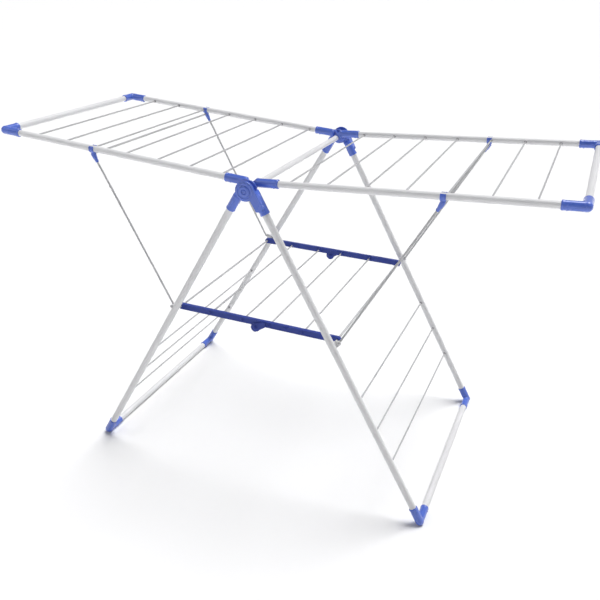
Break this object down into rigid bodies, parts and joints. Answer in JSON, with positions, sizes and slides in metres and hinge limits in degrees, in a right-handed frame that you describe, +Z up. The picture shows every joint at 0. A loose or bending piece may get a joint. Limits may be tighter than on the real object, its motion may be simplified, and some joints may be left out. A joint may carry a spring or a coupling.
{
  "type": "clothes drying rack",
  "caption": "Folding free-standing clothes drying rack with two wire wings propped by wire struts, crossed tube legs and a fold-up wire shelf.",
  "frame": {"origin": "on the floor, under the middle of the hub", "axes": "+X along the wings to the right of the front view, +Y across the rack from front to back, +Z up"},
  "size_m": [1.5762, 0.696, 0.9536],
  "materials": {
    "white_tube": "satin powder coat",
    "white_wire": "satin powder coat",
    "steel_rod": "satin grey coat",
    "blue_plastic": "moulded, fine grain"
  },
  "bodies": {
    "leg_left": {"cross_tube": "white_tube", "leg_left_bottom_tube": "white_tube", "leg_left_foot_back": "blue_plastic", "leg_left_foot_front": "blue_plastic", "leg_left_hub_socket_back": "blue_plastic", "leg_left_hub_socket_front": "blue_plastic", "leg_left_tube_back": "white_tube", "leg_left_tube_front": "white_tube", "leg_left_wire_1": "white_wire", "leg_left_wire_2": "white_wire", "leg_left_wire_3": "white_wire", "shelf_pivot_rod": "steel_rod"},
    "leg_right": {"leg_right_bottom_tube": "white_tube", "leg_right_foot_back": "blue_plastic", "leg_right_foot_front": "blue_plastic", "leg_right_hub_socket_back": "blue_plastic", "leg_right_hub_socket_front": "blue_plastic", "leg_right_tube_back": "white_tube", "leg_right_tube_front": "white_tube", "leg_right_wire_1": "white_wire", "leg_right_wire_2": "white_wire", "leg_right_wire_3": "white_wire"},
    "shelf_left": {"shelf_left_rail_back": "blue_plastic", "shelf_left_rail_front": "blue_plastic", "shelf_left_wire_1": "white_wire", "shelf_left_wire_2": "white_wire"},
    "shelf_right": {"shelf_right_rail_back": "blue_plastic", "shelf_right_rail_front": "blue_plastic", "shelf_right_wire_1": "white_wire", "shelf_right_wire_2": "white_wire"},
    "strut_left": {"strut_left_wire": "steel_rod"},
    "strut_right": {"strut_right_wire": "steel_rod"},
    "wing_left": {"wing_left_corner_back": "blue_plastic", "wing_left_corner_front": "blue_plastic", "wing_left_end_tube": "white_tube", "wing_left_side_back": "white_tube", "wing_left_side_front": "white_tube", "wing_left_sleeve_back": "blue_plastic", "wing_left_sleeve_front": "blue_plastic", "wing_left_wire_1": "white_wire", "wing_left_wire_2": "white_wire", "wing_left_wire_3": "white_wire", "wing_left_wire_4": "white_wire", "wing_left_wire_5": "white_wire", "wing_left_wire_6": "white_wire", "wing_left_wire_7": "white_wire"},
    "wing_right": {"wing_right_corner_back": "blue_plastic", "wing_right_corner_front": "blue_plastic", "wing_right_end_tube": "white_tube", "wing_right_side_back": "white_tube", "wing_right_side_front": "white_tube", "wing_right_sleeve_back": "blue_plastic", "wing_right_sleeve_front": "blue_plastic", "wing_right_wire_1": "white_wire", "wing_right_wire_2": "white_wire", "wing_right_wire_3": "white_wire", "wing_right_wire_4": "white_wire", "wing_right_wire_5": "white_wire", "wing_right_wire_6": "white_wire", "wing_right_wire_7": "white_wire"}
  },
  "joints": [
    {"name": "leg_fold", "type": "hinge", "parent": "leg_left", "child": "leg_right", "pos_m": [0, 0, 0.88], "axis": [0, 1, 0], "range_deg": [0, 57]},
    {"name": "wing_left_fold", "type": "hinge", "parent": "leg_left", "child": "wing_left", "pos_m": [0, 0, 0.88], "axis": [0, 1, 0], "range_deg": [-59.5, 0]},
    {"name": "wing_right_fold", "type": "hinge", "parent": "leg_right", "child": "wing_right", "pos_m": [0, 0, 0.88], "axis": [0, 1, 0], "range_deg": [0, 59.5]},
    {"name": "strut_left_fold", "type": "hinge", "parent": "leg_left", "child": "strut_left", "pos_m": [-0.25157, 0, 0.5005], "axis": [0, 1, 0], "range_deg": [-122.6, 0]},
    {"name": "strut_right_fold", "type": "hinge", "parent": "leg_right", "child": "strut_right", "pos_m": [0.25157, 0, 0.5005], "axis": [0, 1, 0], "range_deg": [0, 122.6]},
    {"name": "shelf_left_fold", "type": "hinge", "parent": "leg_left", "child": "shelf_left", "pos_m": [-0.23766, 0, 0.4936], "axis": [0, 1, 0], "range_deg": [-59.1, 0]},
    {"name": "shelf_right_fold", "type": "hinge", "parent": "shelf_left", "child": "shelf_right", "pos_m": [0, 0, 0.4793], "axis": [0, 1, 0], "range_deg": [0, 175.1]}
  ],
  "couplings": [
    {"joint": "strut_left_fold", "follows": "wing_left_fold", "ratio": 2.0605},
    {"joint": "strut_right_fold", "follows": "wing_right_fold", "ratio": 2.0605},
    {"joint": "shelf_left_fold", "follows": "leg_fold", "ratio": -1.0358},
    {"joint": "shelf_right_fold", "follows": "leg_fold", "ratio": 3.0716}
  ]
}
